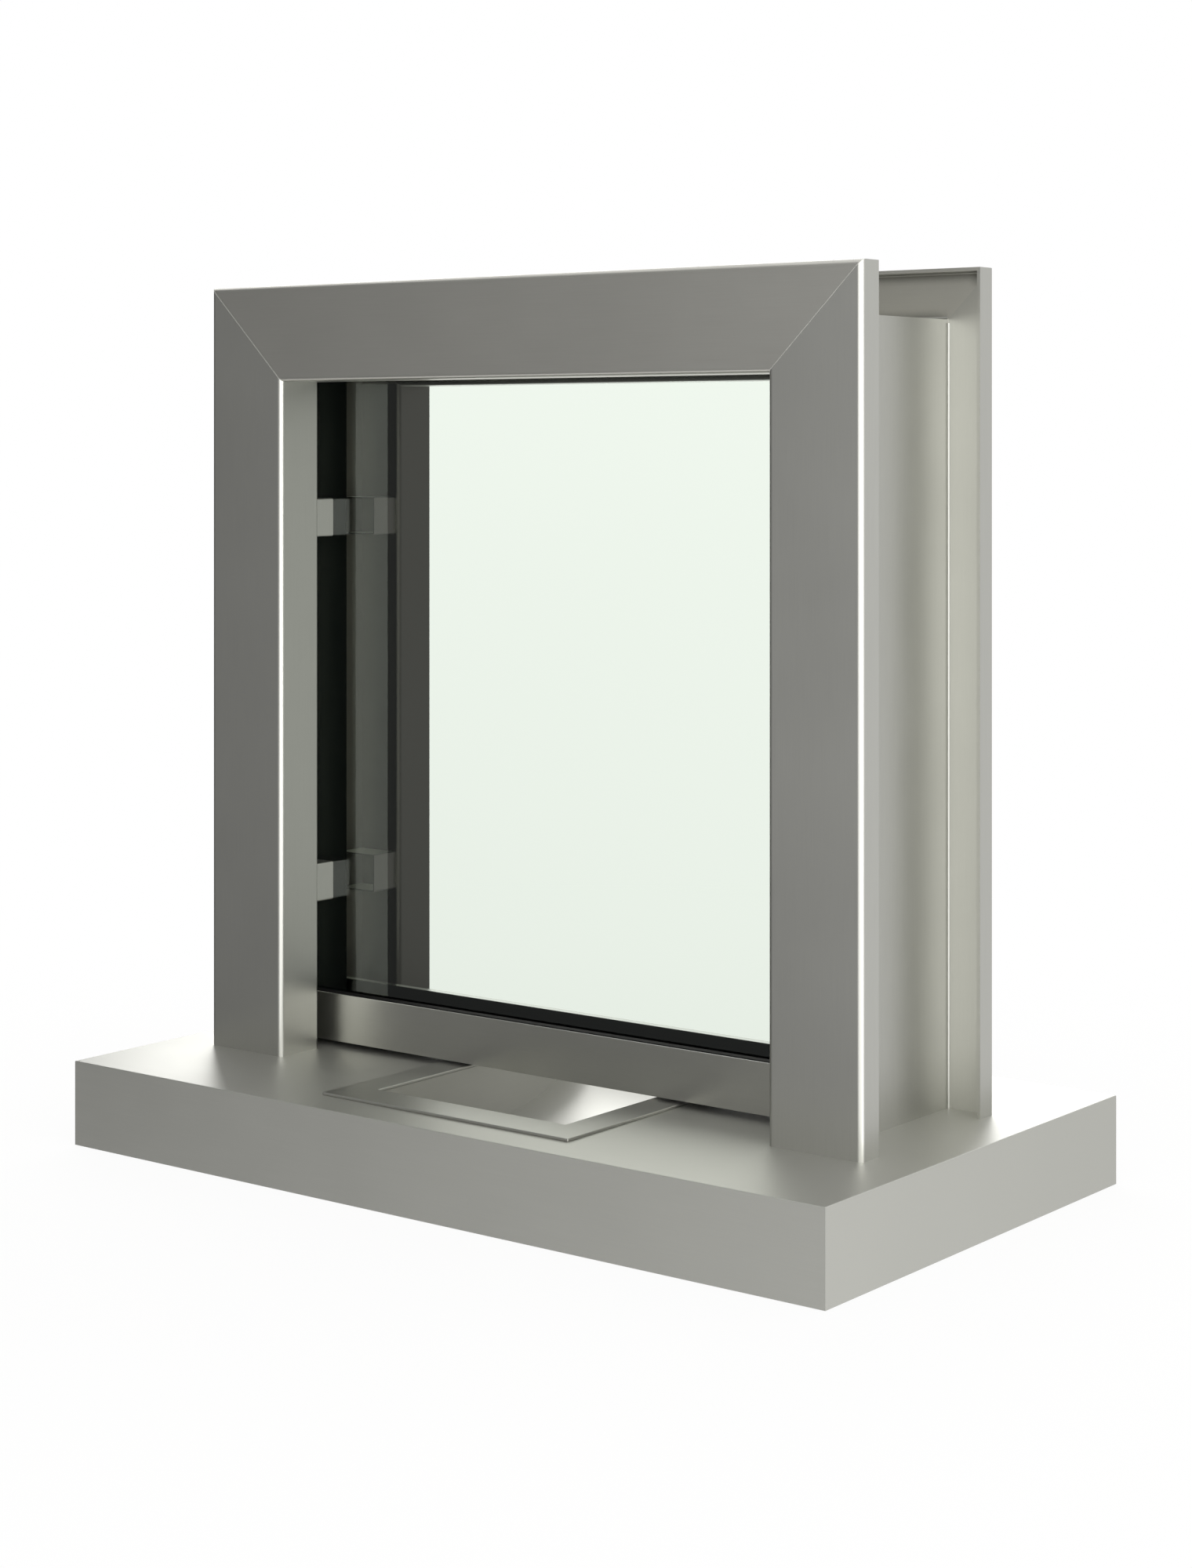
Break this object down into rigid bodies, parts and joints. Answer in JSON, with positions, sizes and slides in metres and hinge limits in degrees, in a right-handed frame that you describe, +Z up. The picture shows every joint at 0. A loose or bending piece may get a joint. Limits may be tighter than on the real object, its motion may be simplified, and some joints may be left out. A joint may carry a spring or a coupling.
{
  "type": "transaction window",
  "caption": "Through-wall service window: a mitred satin steel frame with fixed thick glazing and a voice gap, on a counter shelf with a recessed pass-through deal tray.",
  "frame": {"origin": "on the underside of the shelf, under its middle", "axes": "+X to the right seen from the public side, +Y from the public side to the staff side, +Z up"},
  "size_m": [0.81, 0.4546, 0.782],
  "materials": {
    "satin_steel": "satin stainless steel sheet, brake-formed",
    "tray_steel": "satin stainless steel sheet, rolled and welded",
    "glazing": "clear laminated security glazing with a faint green cast",
    "core_board": "plain plywood core boards",
    "glazing_rubber": "matt black glazing rubber"
  },
  "bodies": {
    "root": {"shelf_cover": "satin_steel", "core_board_left": "core_board", "core_board_right": "core_board", "core_board_front": "core_board", "core_board_back": "core_board", "tray_well_floor": "core_board", "deal_tray_rim": "tray_steel", "deal_tray_scoop": "tray_steel", "deal_tray_side_left": "tray_steel", "deal_tray_side_right": "tray_steel", "front_jamb_left": "satin_steel", "front_jamb_right": "satin_steel", "front_header": "satin_steel", "back_jamb_left": "satin_steel", "back_jamb_right": "satin_steel", "back_header": "satin_steel", "throat_liner_left": "satin_steel", "throat_liner_right": "satin_steel", "throat_liner_head": "satin_steel", "glazing_pane": "glazing", "sill_plate": "satin_steel", "sill_bar_front": "satin_steel", "sill_bar_back": "satin_steel", "glazing_tape_front": "glazing_rubber", "glazing_tape_back": "glazing_rubber", "setting_block_left": "glazing_rubber", "setting_block_right": "glazing_rubber", "front_clip_left_lower": "satin_steel", "front_clip_left_upper": "satin_steel", "front_clip_right_lower": "satin_steel", "front_clip_right_upper": "satin_steel", "back_clip_left_lower": "satin_steel", "back_clip_left_upper": "satin_steel", "back_clip_right_lower": "satin_steel", "back_clip_right_upper": "satin_steel"}
  },
  "joints": []
}
